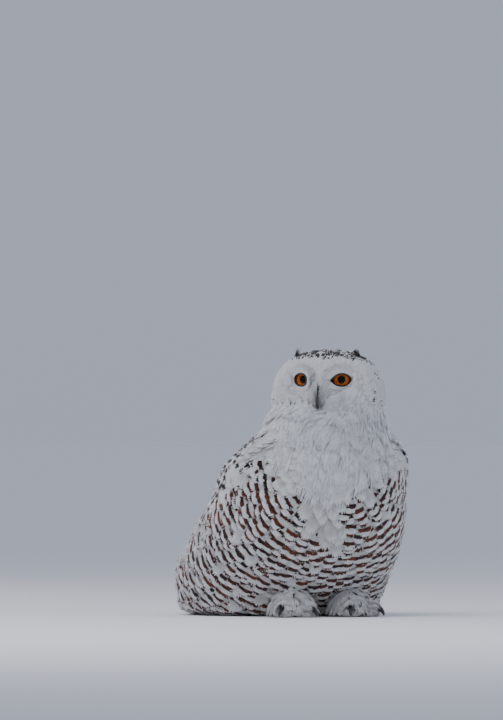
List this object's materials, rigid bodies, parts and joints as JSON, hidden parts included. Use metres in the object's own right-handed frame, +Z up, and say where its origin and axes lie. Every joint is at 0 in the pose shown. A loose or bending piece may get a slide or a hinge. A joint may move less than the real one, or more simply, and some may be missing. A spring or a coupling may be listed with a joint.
{
  "type": "snowy owl",
  "caption": "Life-size snowy owl sitting low on feathered feet, its plumage fluffed and barred, with the head turned to its right.",
  "frame": {"origin": "on the ground, at the centre of the bird's footprint box", "axes": "+Z up, -Y the way the breast faces, +Y towards the tail, +X towards the bird's left side"},
  "size_m": [0.3036, 0.4446, 0.381],
  "materials": {
    "white_plumage": "matte, soft white feathers",
    "barred_plumage": "matte, white feathers with dark brown bars",
    "spotted_plumage": "matte, white feathers with blackish brown spots and bars",
    "crown_plumage": "matte, blackish brown feathers edged with white",
    "foot_plumage": "matte, hair-like white feathers",
    "eye": "wet gloss, amber iris round a black pupil",
    "bill_horn": "satin black horn",
    "claw_horn": "satin black horn"
  },
  "bodies": {
    "root": {"head": "white_plumage", "neck": "white_plumage", "trunk": "barred_plumage", "wing_left": "spotted_plumage", "wing_right": "spotted_plumage", "tail": "spotted_plumage", "leg_left": "white_plumage", "leg_right": "white_plumage", "foot_left": "foot_plumage", "foot_right": "foot_plumage", "ear_tuft_left": "crown_plumage", "ear_tuft_right": "crown_plumage", "eye_left": "eye", "eye_right": "eye", "bill_upper": "bill_horn", "bill_lower": "bill_horn", "claw_left_inner": "claw_horn", "claw_left_middle": "claw_horn", "claw_left_outer": "claw_horn", "claw_left_hind": "claw_horn", "claw_right_inner": "claw_horn", "claw_right_middle": "claw_horn", "claw_right_outer": "claw_horn", "claw_right_hind": "claw_horn"}
  },
  "joints": []
}
